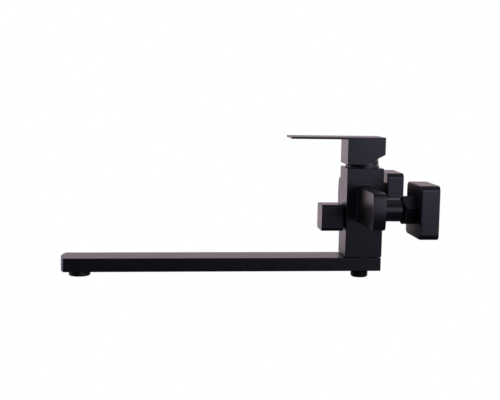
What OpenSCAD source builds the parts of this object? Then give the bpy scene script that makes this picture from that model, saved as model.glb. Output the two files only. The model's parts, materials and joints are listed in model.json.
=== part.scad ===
// Wall-mounted bath mixer: square tower, single lever on top, long flat
// swivelling spout below, diverter knob in front, two flat arms to the wall.
// Millimetres. X runs along the wall, +Y points into the wall, +Z is up.
// The origin is on the wall plane, midway between the two water inlets.

/* [Wall connection] */
// Distance between the two inlet centres
inlet_spacing = 150; // [130:1:180]
// Distance from the wall to the tower's axis
wall_to_axis = 64; // [60:0.5:90]

/* [Tower] */
// Width of the tower, along X
tower_w = 41; // [40:0.5:56]
// Depth of the tower, along Y
tower_d = 44; // [42:0.5:56]
// Height of the tower
tower_h = 105.2; // [98:0.1:130]
// Height of the inlet centres above the tower's foot
inlet_rise = 63.6; // [57:0.1:66]
// Radius on the tower's vertical edges
tower_edge_r = 0.8; // [0.3:0.1:3]

/* [Arms] */
// Height of the flat arms
arm_h = 41.5; // [34:0.5:50]
// Thickness of the flat arms, along Y
arm_t = 14.5; // [12:0.5:18]
// How far an arm's curved end goes past the inlet's centre
arm_past = 24.2; // [18:0.2:40]
// Radius of the shallow curve across an arm's end
arm_end_r = 60; // [45:1:90]
// Radius where an arm's end turns into its top and bottom
arm_corner_r = 5; // [2:0.5:8]
// How far the arms sit in front of the tower's axis
arm_forward = 1; // [-2:0.5:4]
// Wall of the hollow casting
cast_wall = 3; // [2.5:0.1:4]

/* [Inlet necks] */
// Radius of the round neck behind each arm
neck_r = 12.85; // [12:0.05:15]
// Open gap between a neck and its coupling nut
nut_gap = 1.5; // [0.5:0.1:4]
// Width of the coupling nut across its flats
nut_flats = 30; // [30:0.5:36]
// Length of the coupling nut
nut_len = 18; // [15:0.5:24]
// Distance from the wall to the nut's mouth
nut_to_wall = 17; // [12:0.5:19]
// Thread radius inside the coupling nut, for a G3/4 tail
nut_thread_r = 13.3; // [13.2:0.05:13.5]
// Free length of that thread, for the tail
nut_thread_len = 10; // [8:0.5:10]
// Turn of the nuts' corners away from the vertical
nut_turn = 13.3; // [0:0.1:59]

/* [Wall flanges] */
// Width and height of a square wall flange
flange_w = 60; // [50:0.5:72]
// Depth of a wall flange
flange_d = 21; // [12:0.5:30]
// Corner radius of a wall flange
flange_corner_r = 6; // [1:0.5:10]
// Sheet thickness of a wall flange
flange_wall = 1.6; // [1:0.1:3]

/* [Lever] */
// Distance from the axis forward to the block's front face
block_front = 22; // [20.5:0.5:28]
// Distance from the axis back to the block's rear face
block_back = 23; // [20.5:0.5:28]
// Height from the block's underside to the top of the plate
block_h = 32.3; // [30.5:0.1:38]
// Gap between the tower's top and the block's underside
block_gap = 4.2; // [3.8:0.1:6]
// Distance from the axis to the tip of the lever plate
lever_reach = 88.8; // [60:0.2:140]
// Thickness of the lever plate
lever_t = 2.45; // [1.8:0.05:5]
// Height of the slanted cut under the block's rear half
cut_rise = 12.2; // [11:0.1:14]

/* [Dome] */
// Radius of the dome's foot ring
dome_foot_r = 20.2; // [19.8:0.1:22]
// Radius of the dome's ball
dome_ball_r = 19.1; // [18.4:0.1:19.2]
// Height of the dome above the tower
dome_h = 14; // [12:0.5:16]
// Wall of the dome
dome_wall = 1.4; // [1:0.1:1.8]

/* [Spout] */
// Distance from the tower's axis to the tip of the spout
spout_reach = 355; // [200:1:450]
// Width of the spout
spout_w = 41; // [40:0.5:56]
// Height of the spout
spout_t = 16; // [14:0.5:20]
// How far the curved tip bulges past its corners
tip_bulge = 4.2; // [1:0.1:8]
// Gap between the tower's foot and the spout
spout_gap = 0.8; // [0.5:0.1:1.5]
// Wall of the spout
spout_wall = 1.6; // [1.4:0.1:3]
// Distance from the spout's tip back to the aerator's centre
aerator_inset = 21.4; // [20:0.2:60]
// Radius of the aerator's rim
aerator_r = 12.6; // [12:0.1:15]
// Depth of the aerator below the spout
aerator_drop = 7; // [5:0.5:12]

/* [Shower outlet] */
// Thread radius of the shower outlet, G1/2
outlet_r = 10.48; // [10.4:0.02:10.6]
// Length of the outlet below the spout
outlet_drop = 10; // [8:0.5:16]
// Radius of the shank that the spout turns on
shank_r = 9; // [8.5:0.1:9.6]
// Radius of the water way through the outlet
outlet_bore_r = 5.5; // [4:0.1:6.5]

/* [Diverter] */
// Width and height of the square knob
knob_w = 31.2; // [29:0.2:38]
// Length of the knob
knob_len = 26.1; // [23:0.1:32]
// Corner radius of the knob
knob_corner_r = 4; // [1:0.5:8]
// Gap between the knob and the tower's front
knob_gap = 2; // [1.2:0.1:4]
// How far the knob's axis lies below the inlet centres
knob_drop = 17.8; // [16:0.2:23]
// Radius of the diverter's valve body
valve_r = 10.9; // [10.5:0.1:11.5]

/* [Cartridge] */
// Radius of the ceramic cartridge
cartridge_r = 17.5; // [17:0.1:17.5]
// Depth of the cartridge's seat below the tower's top
seat_depth = 26; // [25:0.5:32]

/* [Fits] */
// Radial play of a turning fit
turn_fit = 0.06; // [0.02:0.01:0.1]
// Radial play of a loose fit
loose_fit = 0.3; // [0.2:0.05:0.5]

/* [Hidden] */
$fn = 96;
// Smooth long curves, how far a cut runs past the face it opens, and a sliver of overlap
long_fn = 256;
over = 1;
eps = 0.01;
LACQUER = [0.06, 0.06, 0.065];
BRASS = [0.78, 0.62, 0.30];
STEEL = [0.62, 0.62, 0.64];
CERAMIC = [0.93, 0.92, 0.88];
PLASTIC = [0.88, 0.88, 0.85];
RUBBER = [0.12, 0.12, 0.12];

// Main levels and planes
foot_z = -inlet_rise;
top_z = foot_z + tower_h;
axis_y = -wall_to_axis;
front_y = axis_y - tower_d/2;
rear_y = axis_y + tower_d/2;
arm_y = axis_y - arm_forward;
nut_y1 = -nut_to_wall;
nut_y0 = nut_y1 - nut_len;
neck_y1 = nut_y0 - nut_gap;
arm_reach = inlet_spacing/2 + arm_past;
aerator_reach = spout_reach - aerator_inset;
spout_top_z = foot_z - spout_gap;
spout_foot_z = spout_top_z - spout_t;
outlet_foot_z = spout_foot_z - outlet_drop;
knob_z = -knob_drop;
knob_y1 = front_y - knob_gap;
knob_y0 = knob_y1 - knob_len;
sides = [-1, 1];

// Cartridge stack, measured up from its seat
seat_z = top_z - seat_depth;
bore_r = cartridge_r + loose_fit;
port_spread = 8;
port_r = 3.4;
mix_port_y = -8.5;
seal_t = 1;
base_z = seat_z + seal_t;
disc_drop = 17;
disc_t = 4;
disc_gap = 0.05;
seat_play = 0.04;
fixed_z = top_z - disc_drop;
fixed_r = 13.6;
moving_z = fixed_z + disc_t + disc_gap;
moving_r = 10.8;
carrier_z = moving_z + disc_t;
carrier_plate_t = 3;
carrier_hub_t = 4.3;
carrier_hub_r = 6.2;
carrier_in = 0.3;
carrier_slot_depth = 5.8;
carrier_top_play = 0.4;
housing_roof_t = 1.2;
housing_room_z = carrier_z + carrier_plate_t + carrier_top_play;
housing_ledge_z = housing_room_z + housing_roof_t;
housing_room_r = 15.8;
seal_lip = 1.1;
pocket_r = 5.4;
pocket_depth = 2.2;
rotor_r = 10.9;
pivot_rise = 6;
pivot_z = top_z + pivot_rise;
rotor_below = 6.4;
rotor_above = 3;
rotor_z0 = pivot_z - rotor_below;
rotor_z1 = pivot_z + rotor_above;
rotor_rim = 1.5;
collar_wall = 2;
collar_r = rotor_r + turn_fit + collar_wall;
pin_r = 1.5;
stem_drop = 10;
stem_w = 8;
stem_neck_r = 1.6;
stem_tip_r = 2.4;
stem_foot = 3.5;
stem_side_play = 0.4;
stem_end_play = 0.3;
stem_tip_play = 0.35;
socket_play = 0.05;
stem_top_z = pivot_z + 28;
clamp_rim_r = 15.8;
clamp_rise = 2.2;
clamp_sink = 0.5;
clamp_notch_w = 3;
clamp_notch_h = 1.8;

// Lever block, measured from the tower's top
block_z0 = top_z + block_gap;
block_z1 = block_z0 + block_h;
ball_play = 0.4;
ball_room_r = dome_ball_r + ball_play;
cut_past = 0.4;
grip_z = pivot_z + 22.5;
screw_r = 2.5;
screw_len = 8;
screw_socket_r = 1.45;
screw_socket_depth = 3;
plug_r = 3.8;
plug_t = 4;

// Dome: shadow groove, foot ring and the slope up to the ball
groove_in = 0.8;
groove_h = 0.7;
foot_ring_z = top_z + 0.6;
foot_slope_z = top_z + 1.5;
foot_slope_h = 2.3;

// Metal left inside the casting
hollow_start = tower_w/2 + 1.5;
chamber_web = 4;
seat_floor_t = 4.5;
port_way_past = 3;

// Diverter stack, along Y
valve_sink = 1.5;
valve_y0 = front_y + valve_sink;
valve_len = 24;
valve_y1 = valve_y0 + valve_len;
valve_room_r = 8.7;
div_disc_r = 8.5;
div_disc_t = 2.5;
div_stem_r = 4;
div_fixed_y = valve_y1 - div_disc_t;
div_moving_y = div_fixed_y - div_disc_t;
div_flange_t = 2;
div_flange_play = 0.3;
div_disc_play = 0.15;
div_flange_y = div_moving_y - div_flange_t;
div_socket_y = knob_y0 + 8;
div_tip_y = div_socket_y + 0.5;
div_seal_y = valve_y0 + 4;
div_room_y = axis_y + mix_port_y - port_r - 1;
div_seal_r = 0.9;
div_groove_w = 2.4;
div_window_r = 6.5;
div_window_x = 1.2;
ring_out_r = 13.2;
ring_play = 0.3;
div_port_x = 5;
div_port_r = 2.4;
knob_screw_r = 2;
knob_screw_len = 6;
knob_socket_r = 1.15;
knob_socket_depth = 2.5;
knob_screw_y = (knob_y0 + knob_y1)/2 - 1;

// Spout pivot
ring_wall = 2.2;
ring_w = 3.6;
ring_r0 = shank_r + ring_wall;
ring_r1 = ring_r0 + ring_w;
ring_depth = 4;
ring_floor = 4.5;
feed_r = ring_r0 + ring_w/2;
shank_top_z = foot_z + 14;
shank_room = 3;
channel_start = ring_r0 + 0.6;
spout_rear = tower_d/2 - 0.5;
washer_in = 1.2;
washer_gap = 0.1;
washer_ring_gap = 0.6;
slide_t = 1.6;
slide_w = 3;
slide_r = shank_r + slide_w;
slide_play = 0.1;
slide_pocket_play = 0.2;
slide_bore_play = 0.15;
shoulder_z = spout_foot_z + 0.4;
thread_chamfer = 1.2;
seal_w = 0.9;
seal_groove_play = 0.1;
seal_low_rise = 4.2;
seal_top_drop = 2;
cavity_rear = 24;
spout_channel_r = 4;

// Inlets
seat_tube_r = 10.4;
seat_screw_r = 9.6;
seat_screw_len = 10;
seat_bore_r = 7.2;
nut_lip = 3;
seat_flange_r = 12.8;
seat_flange_t = 2.9;
seat_lip_play = 0.1;
seat_y0 = nut_y0 + nut_lip + seat_lip_play;
gasket_t = 2;
gasket_in = 0.2;
gasket_hole_play = 1.2;
nut_ease = 2;
nut_face_in = 0.4;
nut_room_play = 0.4;
nut_hole_play = 0.5;
flange_inner_share = 0.8;
water_r = 4;

// ---------- shared shapes ----------

// Flat rectangle with true round corners, centred
module rounded_rect(w, h, r) {
    square([w - 2*r, h], center = true);
    square([w, h - 2*r], center = true);
    for (sx = sides, sy = sides)
        translate([sx*(w/2 - r), sy*(h/2 - r)]) circle(r);
}

// Round bar along Y between two planes
module bar_y(r, y0, y1) {
    translate([0, y0, 0]) rotate([-90, 0, 0]) cylinder(r = r, h = y1 - y0);
}

// Cone along Y between two planes
module cone_y(r0, r1, y0, y1) {
    translate([0, y0, 0]) rotate([-90, 0, 0]) cylinder(r1 = r0, r2 = r1, h = y1 - y0);
}

// Round bar along Z between two levels
module bar_z(r, z0, z1) {
    translate([0, 0, z0]) cylinder(r = r, h = z1 - z0);
}

// Upright ring between two levels
module ring_z(r_out, r_in, z0, z1) {
    difference() {
        bar_z(r_out, z0, z1);
        bar_z(r_in, z0 - over, z1 + over);
    }
}

// Moves children onto the tower's upright axis
module on_axis() {
    translate([0, axis_y, 0]) children();
}

// Moves children onto the diverter's axis
module on_valve() {
    translate([0, 0, knob_z]) children();
}

// Moves children onto one inlet's axis
module at_inlet(side) {
    translate([side*inlet_spacing/2, 0, 0]) children();
}

// ---------- cast body ----------

// Half of the arm's face: flat bar with a shallow curved end and eased corners
module arm_outline() {
    curve_x = arm_reach - arm_end_r;
    ease_z = arm_h/2 - arm_corner_r;
    ease_x = curve_x + sqrt(pow(arm_end_r - arm_corner_r, 2) - pow(ease_z, 2));
    meet_z = ease_z*arm_end_r/(arm_end_r - arm_corner_r);
    translate([0, -arm_h/2]) square([ease_x, arm_h]);
    intersection() {
        translate([0, -meet_z]) square([arm_reach, 2*meet_z]);
        translate([curve_x, 0]) circle(arm_end_r, $fn = long_fn);
    }
    for (s = sides)
        translate([ease_x, s*ease_z]) circle(arm_corner_r);
}

module arm(side) {
    mirror([side < 0 ? 1 : 0, 0, 0])
        translate([0, arm_y, 0])
            rotate([90, 0, 0])
                linear_extrude(arm_t, center = true) arm_outline();
}

// Hollow of an arm, inside its walls and clear of the cartridge's bore
module arm_hollow(side) {
    x0 = hollow_start;
    x1 = arm_reach - 2*cast_wall;
    mirror([side < 0 ? 1 : 0, 0, 0])
        translate([x0, arm_y - arm_t/2 + cast_wall, -arm_h/2 + cast_wall])
            cube([x1 - x0, arm_t - 2*cast_wall, arm_h - 2*cast_wall]);
}

// Hot or cold chamber in the tower's rear half, under the cartridge's seat
module inlet_chamber(side) {
    z0 = knob_z + valve_r + cast_wall;
    z1 = seat_z - seat_floor_t;
    x1 = tower_w/2 - cast_wall;
    y0 = arm_y - over;
    mirror([side < 0 ? 1 : 0, 0, 0])
        translate([chamber_web/2, y0, z0])
            cube([x1 - chamber_web/2, rear_y - cast_wall - y0, z1 - z0]);
}

// Chamber over the outlet's shank, fed by the diverter
module shower_chamber() {
    y0 = front_y + cast_wall;
    y1 = axis_y + shower_y() - over;
    z1 = knob_z - valve_r - cast_wall;
    translate([-tower_w/2 + cast_wall, y0, shank_top_z])
        cube([tower_w - 2*cast_wall, y1 - y0, z1 - shank_top_z]);
}

module body_casting() {
    color(LACQUER) difference() {
        union() {
            on_axis() translate([0, 0, foot_z])
                linear_extrude(tower_h) rounded_rect(tower_w, tower_d, tower_edge_r);
            for (side = sides) {
                arm(side);
                at_inlet(side) bar_y(neck_r, arm_y, neck_y1);
            }
        }
        // Seat of the ceramic cartridge, with its three ports
        on_axis() bar_z(bore_r, seat_z, top_z + over);
        for (side = sides) {
            on_axis() translate([side*port_spread, -arm_forward, 0])
                bar_z(port_r, 0, seat_z + over);
            // Water way from the port to the hollow arm
            translate([side*port_spread, arm_y, 0]) rotate([0, side*90, 0])
                cylinder(r = water_r, h = tower_w/2 + port_way_past - port_spread);
            arm_hollow(side);
            inlet_chamber(side);
            // Neck bore and its screwed mouth
            at_inlet(side) bar_y(seat_bore_r, arm_y, neck_y1 + over);
            at_inlet(side) bar_y(seat_screw_r, neck_y1 - seat_screw_len, neck_y1 + over);
        }
        // Diverter bore, fed from above through the mixing port
        on_valve() bar_y(valve_r, front_y - over, valve_y1);
        on_axis() translate([0, mix_port_y, 0]) bar_z(port_r, knob_z, seat_z + over);
        // Two outlets of the diverter: one to the spout's ring, one to the shower
        translate([div_port_x, 0, knob_z]) bar_y(div_port_r, valve_y1 - over, axis_y + feed_y());
        translate([-div_port_x, 0, knob_z]) bar_y(div_port_r, valve_y1 - over, axis_y + shower_y());
        on_axis() translate([div_port_x, feed_y(), 0]) bar_z(div_port_r, foot_z + over, knob_z);
        on_axis() translate([-div_port_x, shower_y(), 0])
            bar_z(div_port_r, shank_top_z + eps, knob_z);
        shower_chamber();
        // Foot: ring chamber for the spout and screwed bore for the outlet shank
        on_axis() ring_z(ring_r1, ring_r0, foot_z - over, foot_z + ring_depth);
        on_axis() bar_z(shank_r, foot_z - over, shank_top_z + shank_room);
    }
}

// Where the diverter's outlets turn down: over the foot's ring, and beside its shank
function feed_y() = sqrt(pow(feed_r, 2) - pow(div_port_x, 2));
function shower_y() = sqrt(pow(shank_r, 2) - pow(div_port_x, 2));

// ---------- cartridge and its cover ----------

module dome_cap() {
    groove_r = dome_foot_r - groove_in;
    inner_r = dome_ball_r - dome_wall;
    color(LACQUER) on_axis() difference() {
        union() {
            bar_z(groove_r, top_z, top_z + groove_h);
            bar_z(dome_foot_r, foot_ring_z, foot_slope_z);
            translate([0, 0, foot_slope_z])
                cylinder(r1 = dome_foot_r, r2 = dome_ball_r, h = foot_slope_h);
            intersection() {
                translate([0, 0, pivot_z]) sphere(dome_ball_r);
                bar_z(dome_foot_r, foot_slope_z, top_z + dome_h);
            }
        }
        translate([0, 0, pivot_z]) sphere(inner_r);
        bar_z(inner_r, top_z - over, pivot_z);
    }
}

module cartridge_nut() {
    rim_top_z = top_z + clamp_rise;
    color(BRASS) on_axis() difference() {
        union() {
            bar_z(bore_r, housing_ledge_z, top_z - clamp_sink);
            bar_z(clamp_rim_r, top_z - over, rim_top_z);
        }
        bar_z(collar_r + loose_fit, housing_ledge_z - over, rim_top_z + over);
        for (a = [0:60:300])
            rotate([0, 0, a]) translate([clamp_rim_r, 0, rim_top_z])
                cube([clamp_notch_w, clamp_notch_w, 2*clamp_notch_h], center = true);
    }
}

module cartridge_housing() {
    color(PLASTIC) on_axis() difference() {
        union() {
            bar_z(cartridge_r, fixed_z, housing_ledge_z);
            bar_z(collar_r, housing_room_z, rotor_z1);
        }
        bar_z(fixed_r + seat_play, fixed_z - over, fixed_z + disc_t);
        bar_z(housing_room_r, fixed_z + disc_t - eps, housing_room_z);
        bar_z(rotor_r + turn_fit, fixed_z, rotor_z1 + over);
    }
}

// Three ports shared by the base plate and the fixed disc
module port_set(r, z0, z1) {
    for (side = sides)
        translate([side*port_spread, -arm_forward, 0]) bar_z(r, z0, z1);
    translate([0, mix_port_y, 0]) bar_z(r, z0, z1);
}

module cartridge_base() {
    color(PLASTIC) on_axis() difference() {
        bar_z(cartridge_r, base_z, fixed_z);
        port_set(port_r, base_z - over, fixed_z + over);
    }
}

module cartridge_seals() {
    color(RUBBER) on_axis() difference() {
        port_set(port_r + seal_lip, seat_z, base_z);
        port_set(port_r, seat_z - over, base_z + over);
    }
}

module fixed_disc() {
    color(CERAMIC) on_axis() difference() {
        bar_z(fixed_r, fixed_z, fixed_z + disc_t);
        port_set(port_r, fixed_z - over, moving_z + over);
    }
}

module moving_disc() {
    color(CERAMIC) on_axis() difference() {
        bar_z(moving_r, moving_z, carrier_z);
        // Mixing pocket in the underside
        bar_z(pocket_r, moving_z - over, moving_z + pocket_depth);
    }
}

module disc_carrier() {
    slot_w = 2*(stem_tip_r + stem_tip_play);
    color(PLASTIC) on_axis() difference() {
        union() {
            bar_z(moving_r - carrier_in, carrier_z, carrier_z + carrier_plate_t);
            bar_z(carrier_hub_r, carrier_z, carrier_z + carrier_plate_t + carrier_hub_t);
        }
        translate([0, 0, carrier_z + carrier_plate_t + carrier_hub_t])
            cube([slot_w, slot_w, 2*carrier_slot_depth], center = true);
    }
}

module cartridge_rotor() {
    slot_x = stem_w + 2*stem_side_play;
    color(PLASTIC) on_axis() difference() {
        bar_z(rotor_r, rotor_z0, rotor_z1);
        translate([0, 0, pivot_z]) cube([slot_x, 2*(rotor_r - rotor_rim), 3*rotor_r], center = true);
        translate([0, 0, pivot_z]) rotate([0, 90, 0])
            cylinder(r = pin_r, h = 2*(rotor_r + over), center = true);
    }
}

module stem_pin() {
    color(STEEL) on_axis() translate([0, 0, pivot_z]) rotate([0, 90, 0])
        cylinder(r = pin_r, h = 2*rotor_r - over, center = true);
}

module lever_stem() {
    color(STEEL) on_axis() difference() {
        union() {
            translate([-stem_w/2, -stem_w/2, pivot_z - stem_foot])
                cube([stem_w, stem_w, stem_top_z - pivot_z + stem_foot]);
            bar_z(stem_neck_r, pivot_z - stem_drop, pivot_z);
            translate([0, 0, pivot_z - stem_drop]) sphere(stem_tip_r);
        }
        translate([0, 0, pivot_z]) rotate([0, 90, 0])
            cylinder(r = pin_r + turn_fit, h = stem_w + 2*over, center = true);
    }
}

// ---------- lever ----------

// Side outline of the lever: flat plate on a block with a slanted rear underside
module lever_outline() {
    polygon([
        [-lever_reach, block_z1], [block_back, block_z1],
        [block_back, block_z0 + cut_rise], [cut_past, block_z0],
        [-block_front, block_z0], [-block_front, block_z1 - lever_t],
        [-lever_reach, block_z1 - lever_t]]);
}

module lever_handle() {
    socket_w = stem_w + 2*socket_play;
    color(LACQUER) on_axis() difference() {
        rotate([90, 0, 90]) linear_extrude(tower_w, center = true) lever_outline();
        // Room for the dome and the cartridge's collar
        translate([0, 0, pivot_z]) sphere(ball_room_r);
        bar_z(ball_room_r, block_z0 - over, pivot_z);
        // Square socket for the stem
        translate([-socket_w/2, -socket_w/2, pivot_z])
            cube([socket_w, socket_w, stem_top_z - pivot_z + stem_end_play]);
        // Screw hole from the rear, with a wider mouth for the plug
        translate([0, 0, grip_z]) bar_y(screw_r, 0, block_back + over);
        translate([0, 0, grip_z]) bar_y(plug_r, block_back - plug_t, block_back + over);
    }
}

module lever_screw() {
    color(STEEL) on_axis() translate([0, 0, grip_z]) difference() {
        bar_y(screw_r, stem_w/2, stem_w/2 + screw_len);
        translate([0, stem_w/2 + screw_len, 0]) rotate([90, 0, 0])
            cylinder(r = screw_socket_r, h = 2*screw_socket_depth, center = true, $fn = 6);
    }
}

module lever_plug() {
    color(RUBBER) on_axis() translate([0, 0, grip_z])
        bar_y(plug_r, block_back - plug_t, block_back);
}

// ---------- diverter ----------

module diverter_knob() {
    color(LACQUER) on_valve() difference() {
        translate([0, knob_y1, 0]) rotate([90, 0, 0])
            linear_extrude(knob_len) rounded_rect(knob_w, knob_w, knob_corner_r);
        bar_y(div_stem_r + seat_play, div_socket_y, knob_y1 + over);
        // Screw hole from below
        translate([0, knob_screw_y, 0]) bar_z(knob_screw_r + seat_play, -knob_w/2 - over, 0);
    }
}

module knob_screw() {
    color(STEEL) on_valve() translate([0, knob_screw_y, 0]) difference() {
        bar_z(knob_screw_r, -div_stem_r - knob_screw_len, -div_stem_r);
        translate([0, 0, -div_stem_r - knob_screw_len])
            cylinder(r = knob_socket_r, h = 2*knob_socket_depth, center = true, $fn = 6);
    }
}

module diverter_ring() {
    color(LACQUER) on_valve() difference() {
        bar_y(ring_out_r, knob_y1 + ring_play, front_y);
        bar_y(div_stem_r + loose_fit, knob_y1, front_y + over);
    }
}

module diverter_valve() {
    color(BRASS) on_valve() difference() {
        bar_y(valve_r, valve_y0, valve_y1);
        bar_y(div_stem_r + turn_fit, valve_y0 - over, valve_y1);
        bar_y(valve_room_r, div_room_y, valve_y1 + over);
        translate([0, axis_y + mix_port_y, 0]) bar_z(port_r, 0, valve_r + over);
        // Groove of the stem's seal
        bar_y(div_stem_r + turn_fit + 2*div_seal_r + seat_play,
              div_seal_y - div_groove_w/2, div_seal_y + div_groove_w/2);
    }
}

// Half-moon window that lets water through the turning parts
module div_window(y0, y1) {
    intersection() {
        bar_y(div_window_r, y0 - over, y1 + over);
        translate([div_window_x, y0 - over, -div_disc_r])
            cube([div_disc_r, y1 - y0 + 2*over, 2*div_disc_r]);
    }
}

module diverter_stem() {
    color(BRASS) on_valve() {
        bar_y(div_stem_r, div_tip_y, div_flange_y);
        difference() {
            bar_y(div_disc_r - div_flange_play, div_flange_y, div_moving_y);
            div_window(div_flange_y, div_moving_y);
        }
    }
}

module diverter_stem_seal() {
    color(RUBBER) on_valve() translate([0, div_seal_y, 0]) rotate([-90, 0, 0])
        rotate_extrude() translate([div_stem_r + turn_fit + div_seal_r, 0]) circle(div_seal_r);
}

module diverter_moving_disc() {
    color(CERAMIC) on_valve() difference() {
        bar_y(div_disc_r - div_disc_play, div_moving_y, div_fixed_y - disc_gap);
        div_window(div_moving_y, div_fixed_y);
    }
}

module diverter_fixed_disc() {
    color(CERAMIC) on_valve() difference() {
        bar_y(valve_room_r, div_fixed_y, valve_y1);
        for (side = sides)
            translate([side*div_port_x, 0, 0]) bar_y(div_port_r, div_fixed_y - over, valve_y1 + over);
    }
}

// ---------- spout ----------

// Plan of the spout: straight sides and a shallow curved tip
module spout_plan(w, tip, bulge, rear) {
    corner_y = -(tip - bulge);
    curve_r = (pow(w/2, 2) + pow(bulge, 2))/(2*bulge);
    translate([-w/2, corner_y]) square([w, rear - corner_y]);
    intersection() {
        translate([0, corner_y - bulge + curve_r]) circle(curve_r, $fn = long_fn);
        translate([-w/2, -tip - over]) square([w, bulge + over + eps]);
    }
}

module spout() {
    cavity_w = spout_w - 2*spout_wall;
    cavity_h = spout_t - 2*spout_wall;
    color(LACQUER) on_axis() difference() {
        translate([0, 0, spout_foot_z]) linear_extrude(spout_t)
            spout_plan(spout_w, spout_reach, tip_bulge, spout_rear);
        // Water way from the pivot to the tip
        translate([0, 0, spout_foot_z + spout_wall]) linear_extrude(cavity_h)
            spout_plan(cavity_w, spout_reach - spout_wall, tip_bulge, -cavity_rear);
        // Ring chamber round the shank, and the bore from it to the cavity
        ring_z(ring_r1, ring_r0, spout_foot_z + ring_floor, spout_top_z + over);
        translate([0, 0, spout_foot_z + spout_t/2]) rotate([90, 0, 0])
            translate([0, 0, channel_start]) cylinder(r = spout_channel_r, h = cavity_rear);
        bar_z(shank_r + turn_fit, spout_foot_z - over, spout_top_z + over);
        // Pocket of the slide washer
        bar_z(slide_r + slide_pocket_play, spout_foot_z - over, slide_top_z());
        // Screwed mouth of the aerator
        translate([0, -aerator_reach, 0])
            bar_z(aerator_screw_r(), spout_foot_z - over, spout_foot_z + spout_wall + over);
    }
}

function slide_top_z() = shoulder_z + slide_play + slide_t;
function aerator_screw_r() = aerator_r - aerator_rim_step;

module spout_washer() {
    color(PLASTIC) on_axis()
        ring_z(tower_w/2 - washer_in, ring_r1 + washer_ring_gap,
               spout_top_z + washer_gap, foot_z);
}

module slide_washer() {
    color(PLASTIC) on_axis()
        ring_z(slide_r, shank_r + slide_bore_play, slide_top_z() - slide_t, slide_top_z());
}

// Heights of the two seal grooves on the shank
function seal_levels() = [spout_foot_z + seal_low_rise, spout_top_z - seal_top_drop];

module spout_seals() {
    color(RUBBER) on_axis() for (z = seal_levels())
        translate([0, 0, z]) rotate_extrude() translate([shank_r - seal_w, 0]) circle(seal_w);
}

module shower_outlet() {
    color(LACQUER) on_axis() difference() {
        union() {
            bar_z(shank_r, shoulder_z - over, shank_top_z);
            bar_z(outlet_r, outlet_foot_z + thread_chamfer, shoulder_z);
            translate([0, 0, outlet_foot_z])
                cylinder(r1 = outlet_r - thread_chamfer, r2 = outlet_r, h = thread_chamfer);
        }
        bar_z(outlet_bore_r, outlet_foot_z - over, shank_top_z + over);
        for (z = seal_levels())
            ring_z(shank_r + over, shank_r - 2*seal_w,
                   z - seal_w - seal_groove_play, z + seal_w + seal_groove_play);
    }
}

// ---------- aerator ----------

aerator_foot_z = spout_foot_z - aerator_drop;
aerator_chamfer = 0.9;
aerator_rim_step = 1.4;
aerator_screw_play = 0.2;
aerator_wall = 2.6;
insert_r = aerator_r - aerator_wall;
insert_lip = 0.9;
insert_z0 = aerator_foot_z + 1;
insert_z1 = spout_foot_z - 0.2;
jet_r = 0.75;
jet_pitch = 2.3;
jet_rings = 3;
aerator_seal = 1.8;

module at_aerator() {
    translate([0, axis_y - aerator_reach, 0]) children();
}

module aerator_housing() {
    color(LACQUER) at_aerator() difference() {
        union() {
            bar_z(aerator_r, aerator_foot_z + aerator_chamfer, spout_foot_z);
            translate([0, 0, aerator_foot_z])
                cylinder(r1 = aerator_r - aerator_chamfer, r2 = aerator_r, h = aerator_chamfer);
            bar_z(aerator_screw_r(), spout_foot_z - over,
                  spout_foot_z + spout_wall + over - aerator_screw_play);
        }
        bar_z(insert_r, insert_z0, spout_foot_z + spout_t);
        bar_z(insert_r - insert_lip, aerator_foot_z - over, insert_z0 + over);
    }
}

module aerator_insert() {
    color(PLASTIC) at_aerator() difference() {
        bar_z(insert_r, insert_z0, insert_z1);
        for (ring = [0:jet_rings], k = [0:max(0, 6*ring - 1)])
            rotate([0, 0, ring == 0 ? 0 : k*60/ring]) translate([ring*jet_pitch, 0, 0])
                bar_z(jet_r, insert_z0 - over, insert_z1 + over);
    }
}

module aerator_washer() {
    color(RUBBER) at_aerator()
        ring_z(insert_r, insert_r - aerator_seal, insert_z1, insert_z1 + aerator_seal);
}

// ---------- inlets ----------

module inlet_seat(side) {
    color(BRASS) at_inlet(side) difference() {
        union() {
            bar_y(seat_screw_r, neck_y1 - seat_screw_len, neck_y1);
            bar_y(seat_tube_r, neck_y1, seat_y0 + over);
            bar_y(seat_flange_r, seat_y0, seat_y0 + seat_flange_t);
        }
        bar_y(seat_bore_r, neck_y1 - seat_screw_len - over, seat_y0 + seat_flange_t + over);
    }
}

module gasket(side) {
    y0 = seat_y0 + seat_flange_t;
    color(RUBBER) at_inlet(side) difference() {
        bar_y(seat_flange_r - gasket_in, y0, y0 + gasket_t);
        bar_y(seat_bore_r + gasket_hole_play, y0 - over, y0 + gasket_t + over);
    }
}

function nut_corner_r() = nut_flats/2/cos(30);

// Hexagon nut with both ends eased by a cone, a lip in front and a G3/4 thread behind
module coupling_nut(side) {
    face_r = nut_flats/2 - nut_face_in;
    past_r = nut_corner_r() + nut_face_in;
    color(LACQUER) at_inlet(side) difference() {
        intersection() {
            rotate([0, -nut_turn, 0]) translate([0, nut_y0, 0]) rotate([-90, 0, 0])
                cylinder(r = nut_corner_r(), h = nut_len, $fn = 6);
            union() {
                cone_y(face_r, past_r, nut_y0, nut_y0 + nut_ease);
                bar_y(past_r, nut_y0 + nut_ease, nut_y1 - nut_ease);
                cone_y(past_r, face_r, nut_y1 - nut_ease, nut_y1);
            }
        }
        bar_y(seat_tube_r + turn_fit, nut_y0 - over, nut_y1 + over);
        // Plain room for the seat's flange and gasket, then the thread
        bar_y(nut_thread_r + nut_room_play, nut_y0 + nut_lip, nut_y1 - nut_thread_len);
        bar_y(nut_thread_r, nut_y0 + nut_lip, nut_y1 + over);
    }
}

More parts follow.
